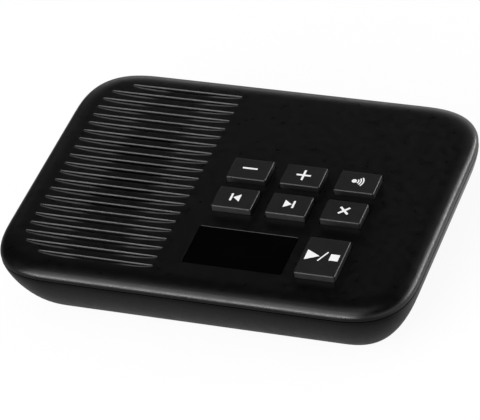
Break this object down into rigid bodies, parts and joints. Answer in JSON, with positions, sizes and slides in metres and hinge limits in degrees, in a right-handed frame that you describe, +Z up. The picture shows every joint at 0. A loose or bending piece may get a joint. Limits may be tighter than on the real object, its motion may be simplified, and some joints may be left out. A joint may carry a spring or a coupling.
{
  "type": "answering machine",
  "caption": "Flat desktop answering machine: two-part case, grooved loudspeaker grille, sprung push keys, message window, and line and power sockets in a bay behind.",
  "frame": {"origin": "centre of the footprint, on the surface that the feet stand on", "axes": "+X to the machine's right, +Y to its back, +Z up"},
  "size_m": [0.1492, 0.1112, 0.0294],
  "materials": {
    "case_top": "fine-grained satin black",
    "case_bottom": "smooth satin black",
    "foot_rubber": "matt black",
    "keycap": "satin charcoal",
    "legend_print": "white pad print",
    "silicone": "translucent grey silicone",
    "window_gloss": "polished smoked black",
    "display_case": "dark grey",
    "display_bars": "diffusing cream",
    "circuit_board": "green solder mask",
    "chip_case": "moulded epoxy",
    "tinned_steel": "tinned",
    "capacitor_sleeve": "shrink sleeve",
    "core_steel": "varnished laminations",
    "winding_tape": "yellow tape",
    "socket_plastic": "black nylon",
    "contact_gold": "gold flash",
    "basket_steel": "black zinc",
    "ferrite": "sintered ferrite",
    "motor_steel": "yellow zinc plate",
    "cone_paper": "pressed paper pulp",
    "surround_rubber": "soft black",
    "spider_cloth": "resin-stiffened weave",
    "coil_copper": "lacquered wire",
    "gasket_foam": "closed-cell foam",
    "terminal_board": "hard paper",
    "connector_nylon": "natural nylon",
    "wire_sleeve": "insulation",
    "screw_steel": "black zinc"
  },
  "bodies": {
    "case": {"top_shell": "case_top", "bottom_shell": "case_bottom", "socket_bay": "case_bottom", "foot_front_left": "foot_rubber", "foot_front_right": "foot_rubber", "foot_back_left": "foot_rubber", "foot_back_right": "foot_rubber", "housing_screws": "screw_steel", "board_screws": "screw_steel", "speaker_screws": "screw_steel", "keypad_mat": "silicone", "display_window": "window_gloss", "display_module": "display_case", "display_segments": "display_bars", "main_board": "circuit_board", "processor": "chip_case", "memory_chip": "chip_case", "voltage_regulator": "chip_case", "crystal": "tinned_steel", "rf_shield": "tinned_steel", "antenna_left": "tinned_steel", "antenna_right": "tinned_steel", "capacitor_1": "capacitor_sleeve", "capacitor_2": "capacitor_sleeve", "capacitor_3": "capacitor_sleeve", "transformer_core": "core_steel", "line_transformer": "winding_tape", "line_socket": "socket_plastic", "line_contacts": "contact_gold", "power_socket": "socket_plastic", "power_contacts": "contact_gold", "speaker_frame": "basket_steel", "speaker_top_plate": "motor_steel", "speaker_magnet": "ferrite", "speaker_yoke": "motor_steel", "speaker_spider": "spider_cloth", "speaker_surround": "surround_rubber", "speaker_gasket": "gasket_foam", "speaker_terminals": "terminal_board", "speaker_connector": "connector_nylon", "speaker_leads": "wire_sleeve"},
    "key_volume_down": {"key_volume_down": "keycap"},
    "key_volume_up": {"key_volume_up": "keycap"},
    "key_paging": {"key_paging": "keycap"},
    "key_previous": {"key_previous": "keycap"},
    "key_next": {"key_next": "keycap"},
    "key_delete": {"key_delete": "keycap"},
    "key_play_stop": {"key_play_stop": "keycap"},
    "loudspeaker_cone": {"speaker_cone": "cone_paper", "speaker_dust_cap": "cone_paper", "speaker_voice_coil": "coil_copper"}
  },
  "joints": [
    {"name": "volume_down_press", "type": "slide", "parent": "case", "child": "key_volume_down", "axis": [0, 0, -1], "range_m": [0, 0.001], "stiffness_N_per_m": 1200, "deforming": ["keypad_mat"]},
    {"name": "volume_up_press", "type": "slide", "parent": "case", "child": "key_volume_up", "axis": [0, 0, -1], "range_m": [0, 0.001], "stiffness_N_per_m": 1200, "deforming": ["keypad_mat"]},
    {"name": "paging_press", "type": "slide", "parent": "case", "child": "key_paging", "axis": [0, 0, -1], "range_m": [0, 0.001], "stiffness_N_per_m": 1200, "deforming": ["keypad_mat"]},
    {"name": "previous_press", "type": "slide", "parent": "case", "child": "key_previous", "axis": [0, 0, -1], "range_m": [0, 0.001], "stiffness_N_per_m": 1200, "deforming": ["keypad_mat"]},
    {"name": "next_press", "type": "slide", "parent": "case", "child": "key_next", "axis": [0, 0, -1], "range_m": [0, 0.001], "stiffness_N_per_m": 1200, "deforming": ["keypad_mat"]},
    {"name": "delete_press", "type": "slide", "parent": "case", "child": "key_delete", "axis": [0, 0, -1], "range_m": [0, 0.001], "stiffness_N_per_m": 1200, "deforming": ["keypad_mat"]},
    {"name": "play_stop_press", "type": "slide", "parent": "case", "child": "key_play_stop", "axis": [0, 0, -1], "range_m": [0, 0.001], "stiffness_N_per_m": 1200, "deforming": ["keypad_mat"]},
    {"name": "cone_excursion", "type": "slide", "parent": "case", "child": "loudspeaker_cone", "axis": [0, 0, 1], "range_m": [-0.0005, 0.0005], "stiffness_N_per_m": 3000, "deforming": ["speaker_surround", "speaker_spider"]}
  ]
}
